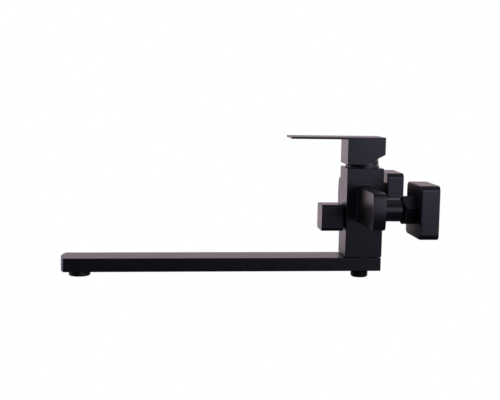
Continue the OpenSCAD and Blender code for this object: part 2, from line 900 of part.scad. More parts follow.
module wall_flange(side) {
    hole_r = nut_corner_r() + nut_hole_play;
    inner_w = flange_w - 2*flange_wall;
    color(LACQUER) at_inlet(side) difference() {
        rotate([90, 0, 0]) linear_extrude(flange_d)
            rounded_rect(flange_w, flange_w, flange_corner_r);
        translate([0, over, 0]) rotate([90, 0, 0]) linear_extrude(flange_d - flange_wall + over)
            rounded_rect(inner_w, inner_w, flange_inner_share*flange_corner_r);
        bar_y(hole_r, -flange_d - over, 0);
    }
}

module left_inlet_seat() { inlet_seat(-1); }
module right_inlet_seat() { inlet_seat(1); }
module left_gasket() { gasket(-1); }
module right_gasket() { gasket(1); }
module left_coupling_nut() { coupling_nut(-1); }
module right_coupling_nut() { coupling_nut(1); }
module left_wall_flange() { wall_flange(-1); }
module right_wall_flange() { wall_flange(1); }

body_casting();
dome_cap();
cartridge_nut();
cartridge_housing();
cartridge_base();
cartridge_seals();
fixed_disc();
moving_disc();
disc_carrier();
cartridge_rotor();
stem_pin();
lever_stem();
lever_handle();
lever_screw();
lever_plug();
diverter_knob();
diverter_ring();
diverter_valve();
diverter_stem();
diverter_stem_seal();
diverter_moving_disc();
diverter_fixed_disc();
knob_screw();
spout();
spout_washer();
slide_washer();
spout_seals();
shower_outlet();
aerator_housing();
aerator_insert();
aerator_washer();
left_inlet_seat();
right_inlet_seat();
left_coupling_nut();
right_coupling_nut();
left_gasket();
right_gasket();
left_wall_flange();
right_wall_flange();
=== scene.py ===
import json
import math

import bmesh
import bpy
from mathutils import Matrix, Vector


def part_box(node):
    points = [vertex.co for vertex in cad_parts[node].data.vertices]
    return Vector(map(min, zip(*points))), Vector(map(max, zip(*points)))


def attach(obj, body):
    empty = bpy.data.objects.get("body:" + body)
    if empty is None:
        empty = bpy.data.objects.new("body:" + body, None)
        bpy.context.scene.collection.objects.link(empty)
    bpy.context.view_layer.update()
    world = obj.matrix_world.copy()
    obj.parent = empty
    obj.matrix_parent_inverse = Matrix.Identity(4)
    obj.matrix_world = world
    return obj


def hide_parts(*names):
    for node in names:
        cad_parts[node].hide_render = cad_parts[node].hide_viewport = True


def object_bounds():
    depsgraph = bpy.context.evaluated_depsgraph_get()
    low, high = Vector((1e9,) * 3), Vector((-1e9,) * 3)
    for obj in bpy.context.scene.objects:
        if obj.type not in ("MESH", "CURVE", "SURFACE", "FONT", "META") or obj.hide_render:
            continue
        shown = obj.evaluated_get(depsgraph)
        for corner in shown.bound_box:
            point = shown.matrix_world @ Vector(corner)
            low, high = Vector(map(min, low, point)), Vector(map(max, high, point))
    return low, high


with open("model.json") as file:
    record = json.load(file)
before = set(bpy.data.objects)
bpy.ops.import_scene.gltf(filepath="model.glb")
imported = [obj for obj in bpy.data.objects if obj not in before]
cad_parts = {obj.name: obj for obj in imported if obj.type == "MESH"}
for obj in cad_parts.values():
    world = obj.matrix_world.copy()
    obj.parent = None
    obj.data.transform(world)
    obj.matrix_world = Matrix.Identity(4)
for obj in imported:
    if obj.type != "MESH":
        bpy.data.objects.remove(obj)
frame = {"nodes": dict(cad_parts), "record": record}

cad_low, cad_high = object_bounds()


# ---------------------------------------------------------------- tower casting
# One brass casting: a square tower with a flat arm on each side and a round neck
# behind each arm. It is ground flat, its edges are barely broken, a small cast
# fillet runs round each arm's root, and it is lacquered semi-matt black.

casting_low, casting_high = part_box("body_casting")
dome_low, dome_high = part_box("dome_cap")
knob_low, knob_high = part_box("diverter_knob")
ring_low, ring_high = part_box("diverter_ring")

tower_width = 0.041
tower_half = tower_width / 2
tower_front = ring_high.y
tower_axis = (dome_low.y + dome_high.y) / 2
tower_rear = 2 * tower_axis - tower_front
tower_foot = casting_low.z
tower_top = casting_high.z
neck_end = casting_high.y
neck_radius = 0.01285
inlet_x = 0.075
arm_reach = casting_high.x
arm_height = 0.0415
arm_thick = 0.0145
arm_middle = tower_axis - 0.001
arm_end_curve = 0.060
arm_corner = 0.005
arm_edge = 0.0009
root_fillet = 0.0018
root_sink = 0.00008
root_overlap = 0.002
neck_chamfer = 0.0005
cut_past = 0.002
broken_edge = 0.0006


class Signal:
    """A value running through a node tree, worked on with plain arithmetic."""

    def __init__(self, nodes, socket):
        self.nodes = nodes
        self.socket = socket

    def __add__(self, other):
        return self.nodes.node("Math", {"operation": "ADD"}, self, other)

    def __sub__(self, other):
        return self.nodes.node("Math", {"operation": "SUBTRACT"}, self, other)

    def __rsub__(self, other):
        return self.nodes.node("Math", {"operation": "SUBTRACT"}, other, self)

    def __mul__(self, other):
        return self.nodes.node("Math", {"operation": "MULTIPLY"}, self, other)

    __radd__ = __add__
    __rmul__ = __mul__


class Nodes:
    """A shader tree, built up node by node."""

    def __init__(self, tree):
        self.tree = tree

    def node(self, kind, settings=None, *values, output=0, **named):
        """Adds a node: its settings first, then what its sockets hold or follow."""
        made = self.tree.nodes.new("ShaderNode" + kind)
        for key, value in (settings or {}).items():
            setattr(made, key, value)
        sockets = list(enumerate(values)) + [(k.replace("_", " "), v) for k, v in named.items()]
        for key, value in sockets:
            if isinstance(value, Signal):
                self.tree.links.new(value.socket, made.inputs[key])
            else:
                made.inputs[key].default_value = value
        return Signal(self, made.outputs[output])

    def fade(self, value, start, end, at_start, at_end):
        """Goes smoothly from one level to another as value goes from start to end."""
        return self.node("MapRange", {"interpolation_type": "SMOOTHSTEP"}, Value=value, From_Min=start,
                         From_Max=end, To_Min=at_start, To_Max=at_end, output="Result")

    def mix(self, amount, first, second):
        """Mixes two colours, each given as numbers or as another signal."""
        made = self.tree.nodes.new("ShaderNodeMix")
        made.data_type = "RGBA"
        self.tree.links.new(amount.socket, made.inputs["Factor"])
        for name, colour in (("A", first), ("B", second)):
            socket = [s for s in made.inputs if s.name == name and s.type == "RGBA"][0]
            if isinstance(colour, Signal):
                self.tree.links.new(colour.socket, socket)
            else:
                socket.default_value = (*colour, 1)
        return Signal(self, [s for s in made.outputs if s.type == "RGBA"][0])


class Finish(Nodes):
    """A surface finish: one Principled shader and the nodes that vary it."""

    def __init__(self, name, roughness, metallic=0.0, specular=0.5):
        self.material = bpy.data.materials.new(name)
        self.material.use_nodes = True
        super().__init__(self.material.node_tree)
        self.shader = self.tree.nodes["Principled BSDF"]
        self.shader.inputs["Roughness"].default_value = roughness
        self.shader.inputs["Metallic"].default_value = metallic
        self.shader.inputs["Specular IOR Level"].default_value = specular
        self.place = self.node("TexCoord", output="Object")

    def noise(self, scale, detail=2.0, roughness=0.5):
        return self.node("TexNoise", None, Vector=self.place, Scale=scale,
                         Detail=detail, Roughness=roughness, output="Fac")

    def feed(self, socket, signal):
        self.tree.links.new(signal.socket, self.shader.inputs[socket])

    def bump(self, height, distance, strength):
        self.feed("Normal", self.node("Bump", None, Height=height, Distance=distance,
                                      Strength=strength, output="Normal"))


def black_lacquer():
    """Sprayed semi-matt lacquer: faint orange peel, a little unevenness in its sheen."""
    finish = Finish("black_lacquer", 0.3)
    cloud = finish.noise(55, 3)
    peel = finish.noise(1500, 2)
    grain = finish.noise(5200, 1)
    finish.feed("Base Color", finish.mix(cloud, (0.0022, 0.0021, 0.0028), (0.0038, 0.0036, 0.0046)))
    finish.feed("Roughness", cloud * 0.05 + grain * 0.05 + 0.25)
    finish.bump(peel * 0.8 + grain * 0.2, 0.00003, 0.35)
    return finish.material


def as_object(name, mesh):
    made = bpy.data.objects.new(name, mesh)
    bpy.context.scene.collection.objects.link(made)
    return made


def loft(name, rings, closed=False):
    """Skins a row of rings, each of the same number of points."""
    build = bmesh.new()
    rows = [[build.verts.new(point) for point in ring] for ring in rings]
    count = len(rows[0])
    pairs = list(zip(rows, rows[1:]))
    if closed:
        pairs.append((rows[-1], rows[0]))
    else:
        build.faces.new(rows[0][::-1])
        build.faces.new(rows[-1])
    for near, far in pairs:
        for k in range(count):
            after = (k + 1) % count
            build.faces.new((near[k], near[after], far[after], far[k]))
    bmesh.ops.recalc_face_normals(build, faces=build.faces)
    mesh = bpy.data.meshes.new(name)
    build.to_mesh(mesh)
    build.free()
    return as_object(name, mesh)


def arc(centre, radius, start, end, steps):
    """Points on an arc, angles in degrees."""
    turns = [math.radians(start + (end - start) * k / steps) for k in range(steps + 1)]
    return [Vector((centre[0] + radius * math.cos(t), centre[1] + radius * math.sin(t))) for t in turns]


def round_box(width, height, radius, steps=6):
    """Rectangle with round corners, anticlockwise and centred."""
    x, y = width / 2 - radius, height / 2 - radius
    corners = [((x, -y), -90), ((x, y), 0), ((-x, y), 90), ((-x, -y), 180)]
    return [p for centre, start in corners for p in arc(centre, radius, start, start + 90, steps)]


def inset(outline, amount):
    """Moves the sides of an anticlockwise outline inwards."""
    moved = []
    for before, here, after in zip(outline[-1:] + outline[:-1], outline, outline[1:] + outline[:1]):
        arriving, leaving = (here - before).normalized(), (after - here).normalized()
        first, second = Vector((-arriving.y, arriving.x)), Vector((-leaving.y, leaving.x))
        moved.append(here + (first + second) * amount / (1 + first.dot(second)))
    return moved


def slab(name, outline, place, low, high, edge_low, edge_high, steps=4):
    """Extrudes an outline from low to high, with a rounded rim of its own at each end."""
    rings = []
    turns = [math.radians(90 * k / steps) for k in range(steps + 1)]
    for t in turns:
        rim = inset(outline, edge_low * (1 - math.sin(t)))
        rings.append([place(p.x, p.y, low + edge_low * (1 - math.cos(t))) for p in rim])
    for t in reversed(turns):
        rim = inset(outline, edge_high * (1 - math.sin(t)))
        rings.append([place(p.x, p.y, high - edge_high * (1 - math.cos(t))) for p in rim])
    return loft(name, rings)


def turned(name, profile, place, closed=False, segments=96):
    """Turns a profile of (radius, height) points about an axis."""
    turns = [2 * math.pi * k / segments for k in range(segments)]
    rings = [[place(r * math.cos(t), r * math.sin(t), h) for t in turns] for r, h in profile]
    return loft(name, rings, closed)


def plain(made):
    """Turns an object and its live modifiers into one plain mesh."""
    evaluated = made.evaluated_get(bpy.context.evaluated_depsgraph_get())
    mesh = bpy.data.meshes.new_from_object(evaluated)
    made.modifiers.clear()
    made.data = mesh
    return made


def combine(base, tool, operation):
    """Joins tool to base, or cuts it out."""
    step = base.modifiers.new("combine", "BOOLEAN")
    step.operation = operation
    step.solver = "EXACT"
    step.object = tool
    plain(base)
    bpy.data.objects.remove(tool)
    return base


def finished(made, body, material, slot, *nodes, sharp=38):
    """Shades a piece, gives it its finish and hands it to its body."""
    mesh = made.data
    mesh.polygons.foreach_set("use_smooth", [True] * len(mesh.polygons))
    mesh.set_sharp_from_angle(angle=math.radians(sharp))
    weigh = made.modifiers.new("flat faces stay flat", "WEIGHTED_NORMAL")
    weigh.keep_sharp = True
    weigh.weight = 80
    plain(made)
    made.data.materials.clear()
    made.data.materials.append(material)
    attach(made, body)
    if nodes:
        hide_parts(*nodes)
    return made


def upright(x, y, z):
    return (x, tower_axis + y, z)


def arm_outline():
    """Face of one arm: a bar with a shallow curved end and eased corners."""
    ease_z = arm_height / 2 - arm_corner
    sweep = math.degrees(math.asin(ease_z / (arm_end_curve - arm_corner)))
    curve_x = arm_reach - arm_end_curve
    ease_x = curve_x + (arm_end_curve - arm_corner) * math.cos(math.radians(sweep))
    root = [Vector((0, arm_height / 2)), Vector((0, -arm_height / 2))]
    lower = arc((ease_x, -ease_z), arm_corner, -90, -sweep, 8)
    end = arc((curve_x, 0), arm_end_curve, -sweep, sweep, 16)[1:-1]
    upper = arc((ease_x, ease_z), arm_corner, sweep, 90, 8)
    return root + lower + end + upper


def add_arm(casting, side):
    """Adds an arm, the fillet round its root and the neck behind it."""
    arm = slab("arm", arm_outline(), lambda x, z, y: (side * x, arm_middle + y, z),
               -arm_thick / 2, arm_thick / 2, arm_edge, arm_edge)
    combine(casting, arm, "UNION")
    root = round_box(arm_thick, arm_height, arm_edge)
    rings = []
    for k in range(7):
        t = math.radians(90 * k / 6)
        out = root_fillet * (1 - math.cos(t)) - root_sink * (k == 0)
        x = tower_half + root_fillet * (1 - math.sin(t))
        rings.append([(side * x, arm_middle + p.x, p.y) for p in inset(root, -out)])
    rings.append([(side * (tower_half - root_overlap), y, z) for x, y, z in rings[-1]])
    combine(casting, loft("root", rings), "UNION")
    profile = [(neck_radius, arm_middle), (neck_radius, neck_end - neck_chamfer),
               (neck_radius - neck_chamfer, neck_end)]
    neck = turned("neck", profile, lambda x, z, y: (side * inlet_x + x, y, z))
    return combine(casting, neck, "UNION")


lacquer = black_lacquer()
tower = slab("tower_casting", round_box(tower_width, tower_rear - tower_front, 0.0008), upright,
             tower_foot, tower_top, broken_edge / 2, broken_edge)
add_arm(tower, 1)
add_arm(tower, -1)
finished(tower, "tower", lacquer, "lacquer", "body_casting")


# ---------------------------------------------------------------- dome cap
# A thin turned brass cap that screws down over the cartridge. It stands on a
# narrower ring, so that a fine shadow line shows between it and the tower.

dome_foot = (dome_high.x - dome_low.x) / 2
dome_ball = 0.0191
dome_wall = 0.0014
dome_groove = 0.0009
ball_centre = tower_top + 0.006


def ball_profile(radius, low, high, steps):
    """Points up a ball's side between two heights."""
    heights = [low + (high - low) * k / steps for k in range(steps + 1)]
    return [(math.sqrt(radius**2 - (h - ball_centre) ** 2), h) for h in heights]


shoulder = tower_top + 0.0042
outside = [(dome_foot - dome_groove, tower_top), (dome_foot - dome_groove, tower_top + 0.0006),
           (dome_foot - 0.0002, tower_top + 0.0007), (dome_foot, tower_top + 0.0010)]
outside += [(dome_foot, tower_top + 0.0016), (dome_foot - 0.0003, tower_top + 0.0024)]
outside += ball_profile(dome_ball, shoulder, dome_high.z, 12)
inside = ball_profile(dome_ball - dome_wall, dome_high.z, ball_centre, 8)
inside += [(dome_ball - dome_wall, tower_top)]
dome = turned("dome_cap_turned", outside + inside, upright, closed=True, segments=128)
finished(dome, "tower", lacquer, "lacquer", "dome_cap")


# ---------------------------------------------------------------- lever
# A zinc casting: a square block over the dome, its underside cut at a slant at
# the rear so that it can tip, with a long thin plate running forward from its top.
# A grub screw behind a push-in plug in the rear face grips the stem.

lever_low, lever_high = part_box("lever_handle")
plug_low, plug_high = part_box("lever_plug")
plate_thick = 0.00245
slant_rise = 0.0122
slant_start = 0.0004
lever_edge = 0.0005
ball_room = dome_ball + 0.0004
block_front = 0.022


def lever_outline():
    """Side of the lever, as (distance behind the axis, height)."""
    back, tip = lever_high.y - tower_axis, lever_low.y - tower_axis
    return [(tip, lever_high.z), (tip, lever_high.z - plate_thick),
            (-block_front, lever_high.z - plate_thick), (-block_front, lever_low.z),
            (slant_start, lever_low.z), (back, lever_low.z + slant_rise), (back, lever_high.z)]


def bevelled(made, width, segments=3):
    step = made.modifiers.new("broken edges", "BEVEL")
    step.width = width
    step.segments = segments
    step.limit_method = "ANGLE"
    step.angle_limit = math.radians(20)
    return plain(made)


sides = [[(x, tower_axis + y, z) for y, z in lever_outline()] for x in (-tower_half, tower_half)]
lever = bevelled(loft("lever_casting", sides), lever_edge)
room = ball_profile(ball_room, ball_centre, ball_centre + ball_room * 0.999, 14)
room = [(ball_room, lever_low.z - cut_past)] + room
combine(lever, turned("dome room", room, upright), "DIFFERENCE")
plug_radius = (plug_high.x - plug_low.x) / 2
plug_middle = (plug_low.z + plug_high.z) / 2


def behind(x, z, y):
    return (x, y, plug_middle + z)


hole = [(plug_radius, plug_low.y), (plug_radius, lever_high.y + cut_past)]
combine(lever, turned("plug hole", hole, behind, segments=48), "DIFFERENCE")
finished(lever, "lever", lacquer, "lacquer", "lever_handle")


def moulded_black():
    """Fine-textured black moulding."""
    finish = Finish("moulded_black", 0.45)
    spark = finish.noise(2600, 2)
    finish.feed("Base Color", finish.mix(spark, (0.012, 0.012, 0.012), (0.024, 0.024, 0.024)))
    finish.feed("Roughness", spark * 0.2 + 0.38)
    finish.bump(spark, 0.00003, 0.5)
    return finish.material


black_plastic = moulded_black()
plug_edge = 0.0005
plug_clear = 0.00003
profile = [(plug_radius - plug_clear, plug_low.y), (plug_radius - plug_clear, plug_high.y - plug_edge),
           (plug_radius - plug_edge, plug_high.y - 0.0001), (0.0016, plug_high.y)]
plug = turned("lever_plug_cap", profile, behind, segments=48)
finished(plug, "lever", black_plastic, "black_plastic", "lever_plug")


# ---------------------------------------------------------------- diverter knob
# A square zinc knob pushed on the diverter's stem, held by a grub screw from
# below. Its four long edges are well rounded and its front rim is softened.

knob_width = knob_high.x - knob_low.x
knob_corner = 0.004
knob_front_edge = 0.0010
knob_back_edge = 0.0007
screw_clear = 0.00004
knob_middle = (knob_low.z + knob_high.z) / 2
screw_low, screw_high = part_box("knob_screw")
screw_radius = (screw_high.x - screw_low.x) / 2


def knob_place(x, z, y):
    return (x, y, knob_middle + z)


def under_knob(x, y, z):
    return (x, (screw_low.y + screw_high.y) / 2 + y, z)


knob = slab("diverter_knob_block", round_box(knob_width, knob_width, knob_corner, 8), knob_place,
            knob_low.y, knob_high.y, knob_front_edge, knob_back_edge)
hole = [(screw_radius + screw_clear, screw_low.z - 0.001 - knob_width / 2),
        (screw_radius + screw_clear, screw_high.z)]
combine(knob, turned("screw hole", hole, under_knob, segments=40), "DIFFERENCE")
finished(knob, "knob", lacquer, "lacquer", "diverter_knob")

ring_radius = (ring_high.x - ring_low.x) / 2
ring_edge = 0.0003
ring_hole = 0.0045
profile = [(ring_radius, ring_high.y), (ring_radius, ring_low.y + ring_edge),
           (ring_radius - ring_edge, ring_low.y), (ring_hole, ring_low.y), (ring_hole, ring_high.y)]
collar = turned("diverter_collar", profile, knob_place, closed=True)
finished(collar, "tower", lacquer, "lacquer", "diverter_ring")


# ---------------------------------------------------------------- spout
# A long flat brass box, as wide as the tower and square to it, that turns under
# the tower's foot. Its tip is closed by a shallow curved end.

spout_low, spout_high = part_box("spout")
washer_low, washer_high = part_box("slide_washer")
spout_half = (spout_high.x - spout_low.x) / 2
tip_bulge = 0.0042
spout_edge = 0.0005
spout_corner = 0.0007
pocket_radius = (washer_high.x - washer_low.x) / 2 + 0.0002


def spout_outline():
    """Plan of the spout, as (x, distance behind the axis)."""
    rear, tip = spout_high.y - tower_axis, spout_low.y - tower_axis
    shoulder_y = tip + tip_bulge
    radius = (spout_half**2 + tip_bulge**2) / (2 * tip_bulge)
    sweep = math.degrees(math.asin((spout_half - spout_corner * 0.6) / radius))
    end = arc((0, tip + radius), radius, -90 - sweep, -90 + sweep, 24)
    near = Vector((spout_half, shoulder_y + spout_corner))
    side_a = [near, near.lerp(Vector((spout_half, rear)), 0.5)]
    inner = spout_half - spout_corner
    rear_a = arc((inner, rear - spout_corner), spout_corner, 0, 90, 4)
    rear_b = arc((-inner, rear - spout_corner), spout_corner, 90, 180, 4)
    side_b = [Vector((-p.x, p.y)) for p in reversed(side_a)]
    return end + side_a + rear_a + rear_b + side_b


spout = slab("spout_casting", spout_outline(), upright, spout_low.z, spout_high.z,
             spout_edge, spout_edge)
pocket = [(pocket_radius, spout_low.z - cut_past), (pocket_radius, washer_high.z)]
combine(spout, turned("washer pocket", pocket, upright), "DIFFERENCE")
finished(spout, "swivel_spout", lacquer, "lacquer", "spout")


# ---------------------------------------------------------------- aerator
# A turned rim screwed up into the spout's underside, holding a moulded insert
# whose lower face is a honeycomb of small cells.

rim_low, rim_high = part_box("aerator_housing")
insert_low, insert_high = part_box("aerator_insert")
rim_radius = (rim_high.x - rim_low.x) / 2
insert_radius = (insert_high.x - insert_low.x) / 2
aerator_axis = (rim_low.y + rim_high.y) / 2
rim_chamfer = 0.0009
mouth_lip = 0.0009
screw_in = 0.0112


def at_aerator(x, y, z):
    return (x, aerator_axis + y, z)


mouth = insert_radius - mouth_lip
profile = [
    (mouth, insert_low.z), (mouth, rim_low.z + 0.0003), (mouth + 0.0003, rim_low.z),
    (rim_radius - rim_chamfer, rim_low.z), (rim_radius, rim_low.z + rim_chamfer),
    (rim_radius, rim_low.z + 0.0048), (rim_radius - 0.0003, rim_low.z + 0.0050),
    (rim_radius - 0.0003, rim_low.z + 0.0054), (rim_radius, rim_low.z + 0.0056),
    (rim_radius, spout_low.z - 0.0004), (rim_radius - 0.0004, spout_low.z),
    (screw_in, spout_low.z), (screw_in, rim_high.z), (insert_radius, rim_high.z),
    (insert_radius, insert_low.z)]
rim = turned("aerator_rim", profile, at_aerator, closed=True)
finished(rim, "swivel_spout", lacquer, "lacquer", "aerator_housing")


def honeycomb(name, radius, pitch, wall, height, material):
    """A node tree that fills a disc with small six-sided tubes."""
    rim_share, cell_share = 0.45, 0.54
    tree = bpy.data.node_groups.new(name, "GeometryNodeTree")
    face = tree.interface
    for label, value in (("Radius", radius), ("Pitch", pitch), ("Wall", wall), ("Height", height)):
        face.new_socket(label, in_out="INPUT", socket_type="NodeSocketFloat").default_value = value
    face.new_socket("Geometry", in_out="OUTPUT", socket_type="NodeSocketGeometry")

    def node(kind, settings=None, **sockets):
        made = tree.nodes.new(kind)
        for key, value in (settings or {}).items():
            setattr(made, key, value)
        for key, value in sockets.items():
            label = int(key[1:]) if key[1:].isdigit() else key.replace("_", " ")
            socket = made.inputs[label]
            if isinstance(value, bpy.types.NodeSocket):
                tree.links.new(value, socket)
            else:
                socket.default_value = value
        return made

    def maths(operation, a, b=0.0):
        return node("ShaderNodeMath", {"operation": operation}, s0=a, s1=b).outputs[0]

    given = node("NodeGroupInput").outputs
    count = int(2 * radius / pitch) + 3
    span = maths("MULTIPLY", given["Pitch"], float(count - 1))
    rows = maths("MULTIPLY", span, math.sqrt(3) / 2)
    grid = node("GeometryNodeMeshGrid", None, Size_X=span, Size_Y=rows,
                Vertices_X=count, Vertices_Y=count)
    index = node("GeometryNodeInputIndex").outputs[0]
    odd = maths("MODULO", index, 2.0)
    shift = maths("MULTIPLY", maths("MULTIPLY", odd, given["Pitch"]), 0.5)
    across = node("ShaderNodeCombineXYZ", None, X=shift)
    staggered = node("GeometryNodeSetPosition", None, Geometry=grid.outputs["Mesh"],
                     Offset=across.outputs[0])
    place = node("GeometryNodeInputPosition").outputs[0]
    reach = node("ShaderNodeVectorMath", {"operation": "LENGTH"}, s0=place).outputs["Value"]
    limit = maths("SUBTRACT", given["Radius"], maths("MULTIPLY", given["Pitch"], rim_share))
    outside_disc = maths("GREATER_THAN", reach, limit)
    kept = node("GeometryNodeDeleteGeometry", {"domain": "POINT"},
                Geometry=staggered.outputs[0], Selection=outside_disc)
    turn = math.radians(30)
    ring = node("GeometryNodeCurvePrimitiveCircle", None, Resolution=6,
                Radius=maths("MULTIPLY", given["Pitch"], cell_share))
    spoke = node("GeometryNodeCurvePrimitiveQuadrilateral", None, Width=given["Wall"],
                 Height=given["Height"])
    turned_ring = node("GeometryNodeTransform", None, Geometry=ring.outputs[0],
                       Rotation=(0.0, 0.0, turn))
    cell = node("GeometryNodeCurveToMesh", None, Curve=turned_ring.outputs[0],
                Profile_Curve=spoke.outputs[0])
    cells = node("GeometryNodeInstanceOnPoints", None, Points=kept.outputs[0],
                 Instance=cell.outputs[0])
    real = node("GeometryNodeRealizeInstances", None, Geometry=cells.outputs[0])
    coated = node("GeometryNodeSetMaterial", None, Geometry=real.outputs[0], Material=material)
    end = node("NodeGroupOutput")
    tree.links.new(coated.outputs[0], end.inputs[0])
    return tree


def moulded_grey():
    """Pale grey acetal, faintly mottled."""
    finish = Finish("moulded_grey", 0.4)
    cloud = finish.noise(400, 3)
    finish.feed("Base Color", finish.mix(cloud, (0.42, 0.43, 0.43), (0.55, 0.55, 0.54)))
    finish.feed("Roughness", cloud * 0.15 + 0.35)
    finish.bump(finish.noise(3000, 2), 0.00002, 0.4)
    return finish.material


grey_plastic = moulded_grey()
cell_pitch = 0.0021
cell_height = 0.0016
screen = as_object("aerator_screen", bpy.data.meshes.new("aerator_screen"))
grow = screen.modifiers.new("cells", "NODES")
grow.node_group = honeycomb("honeycomb cells", insert_radius, cell_pitch, 0.0004, cell_height,
                            grey_plastic)
plain(screen)
screen.data.transform(Matrix.Translation((0, aerator_axis, insert_low.z + cell_height / 2)))
finished(screen, "swivel_spout", grey_plastic, "plastic")

floor_z = insert_low.z + cell_height * 0.7
profile = [(insert_radius, floor_z), (insert_radius, insert_high.z)]
core = turned("aerator_core", profile, at_aerator, segments=64)
finished(core, "swivel_spout", grey_plastic, "plastic", "aerator_insert")


# ---------------------------------------------------------------- shower outlet
# A hollow brass bolt: its shank carries the spout and screws up into the tower,
# and its lower end is a half-inch pipe thread for the shower hose.

outlet_low, outlet_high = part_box("shower_outlet")
outlet_radius = (outlet_high.x - outlet_low.x) / 2
outlet_bore = 0.0055
shank_radius = 0.009
outlet_shoulder = washer_low.z - 0.0001
pipe_pitch = 0.001814
pipe_depth = 0.00116
thread_steps = 8
flank_slope = 2.7
run_out = 0.9


def thread_height(z, turn, low, high, pitch):
    """How far the thread stands out, from 0 at its root to 1 at its crest."""
    along = ((z - low) / pitch - turn / (2 * math.pi)) % 1.0
    crest = min(1.0, max(0.0, flank_slope / 2 - flank_slope * abs(along - 0.5)))
    fade = min(1.0, max(0.0, (high - z) / (run_out * pitch)))
    return crest * fade


def pipe_thread(low, high, radius, depth, chamfer, segments=112):
    """Rings of an outside thread, with a chamfer at its lower end."""
    turns = [2 * math.pi * k / segments for k in range(segments)]
    count = round((high - low) / pipe_pitch * thread_steps)
    rings = []
    for row in range(count + 1):
        z = low + (high - low) * row / count
        cone = radius - chamfer + (z - low)
        ring = []
        for t in turns:
            r = radius - depth + depth * thread_height(z, t, low, high, pipe_pitch)
            r = min(r, cone)
            ring.append(upright(r * math.cos(t), r * math.sin(t), z))
        rings.append(ring)
    return rings


def plain_rings(profile, place, segments=112):
    turns = [2 * math.pi * k / segments for k in range(segments)]
    return [[place(r * math.cos(t), r * math.sin(t), h) for t in turns] for r, h in profile]


thread_top = outlet_shoulder - 0.0012
rings = plain_rings([(outlet_bore + 0.0006, outlet_low.z)], upright)
rings += pipe_thread(outlet_low.z, thread_top, outlet_radius, pipe_depth, 0.0015)
rings += plain_rings([(outlet_radius - pipe_depth, thread_top + 0.0003),
                      (outlet_radius, thread_top + 0.0004), (outlet_radius, outlet_shoulder),
                      (shank_radius, outlet_shoulder), (shank_radius, outlet_high.z),
                      (outlet_bore, outlet_high.z), (outlet_bore, outlet_low.z + 0.0006)], upright)
outlet = loft("shower_outlet_thread", rings, closed=True)
finished(outlet, "tower", lacquer, "lacquer", "shower_outlet", sharp=50)


# ---------------------------------------------------------------- coupling nuts
# Hexagon union nuts, chamfered at both ends, loose on the seats behind the necks.
# Each is threaded inside for the wall union's tail.

nut_flats = 0.030
nut_turn = 13.3
nut_bore = 0.0133
nut_lip_bore = 0.01046
nut_lip = 0.003
nut_ease = 0.0020
thread_reach = 0.010
thread_inset = 0.0004


def hexagon(flats, corner, steps=3):
    """Six-sided outline with its corners barely rounded."""
    reach = (flats / 2 - corner) / math.cos(math.radians(30))
    points = []
    for k in range(6):
        middle = nut_turn + 60 * k
        centre = (reach * math.cos(math.radians(middle)), reach * math.sin(math.radians(middle)))
        points += arc(centre, corner, middle - 30, middle + 30, steps)
    return points


def union_nut(name, body, node, side):
    low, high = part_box(node)
    x0 = side * inlet_x

    def place(x, z, y):
        return (x0 + x, y, z)

    nut = slab(name, hexagon(nut_flats, 0.0005), place, low.y, high.y, 0.00005, 0.00005, 1)
    corner, flat = nut_flats / 2 / math.cos(math.radians(30)) + 0.0004, nut_flats / 2 - 0.0004
    cones = turned("cones", [(flat, low.y), (corner, low.y + nut_ease), (corner, high.y - nut_ease),
                             (flat, high.y)], place, segments=128)
    combine(nut, cones, "INTERSECT")
    bore = turned("bore", [(nut_lip_bore, low.y - 0.001), (nut_lip_bore, low.y + nut_lip),
                           (nut_bore, low.y + nut_lip), (nut_bore, high.y + 0.001)], place)
    combine(nut, bore, "DIFFERENCE")
    thread_low, thread_high = high.y - thread_reach, high.y - thread_inset
    turns = [2 * math.pi * k / 96 for k in range(96)]
    rings = []
    count = round((thread_high - thread_low) / pipe_pitch * thread_steps)
    for row in range(count + 1):
        y = thread_low + (thread_high - thread_low) * row / count
        ring = []
        for t in turns:
            rise = thread_height(y, t, thread_low, thread_high, pipe_pitch)
            r = nut_bore - 0.0001 - pipe_depth * rise
            ring.append(place(r * math.cos(t), r * math.sin(t), y))
        rings.append(ring)
    rings += plain_rings([(nut_bore + 0.0001, thread_high), (nut_bore + 0.0001, thread_low)],
                         place, 96)
    combine(nut, loft("thread", rings, closed=True), "UNION")
    return finished(nut, body, lacquer, "lacquer", node, sharp=30)


union_nut("left_union_nut", "left_nut", "left_coupling_nut", -1)
union_nut("right_union_nut", "right_nut", "right_coupling_nut", 1)


# ---------------------------------------------------------------- wall flanges
# Deep square covers pressed from sheet, open at the back and with a round hole in
# front for the nut. Their front edges and corners are softly rounded.

flange_sheet = 0.0016
flange_corner = 0.006
flange_soft = 0.0016
flange_hole = 0.0178


def wall_cover(name, body, node, side):
    low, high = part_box(node)
    x0 = side * inlet_x
    width = high.x - low.x
    outer = round_box(width, width, flange_corner, 10)
    inner = inset(outer, flange_sheet)

    def ring(points, y):
        return [(x0 + p.x, y, p.y) for p in points]

    def circle(radius):
        return [p.normalized() * radius for p in outer]

    rings = [ring(circle(flange_hole), low.y + flange_sheet),
             ring(circle(flange_hole), low.y + 0.0003),
             ring(circle(flange_hole + 0.0003), low.y)]
    for k in range(7):
        t = math.radians(15 * k)
        rings.append(ring(inset(outer, flange_soft * (1 - math.sin(t))),
                          low.y + flange_soft * (1 - math.cos(t))))
    rings += [ring(outer, high.y), ring(inner, high.y), ring(inner, low.y + flange_sheet + 0.0006),
              ring(inset(inner, 0.0006), low.y + flange_sheet)]
    cover = loft(name, rings, closed=True)
    return finished(cover, body, lacquer, "lacquer", node)


wall_cover("left_flange_cover", "left_flange", "left_wall_flange", -1)
wall_cover("right_flange_cover", "right_flange", "right_wall_flange", 1)


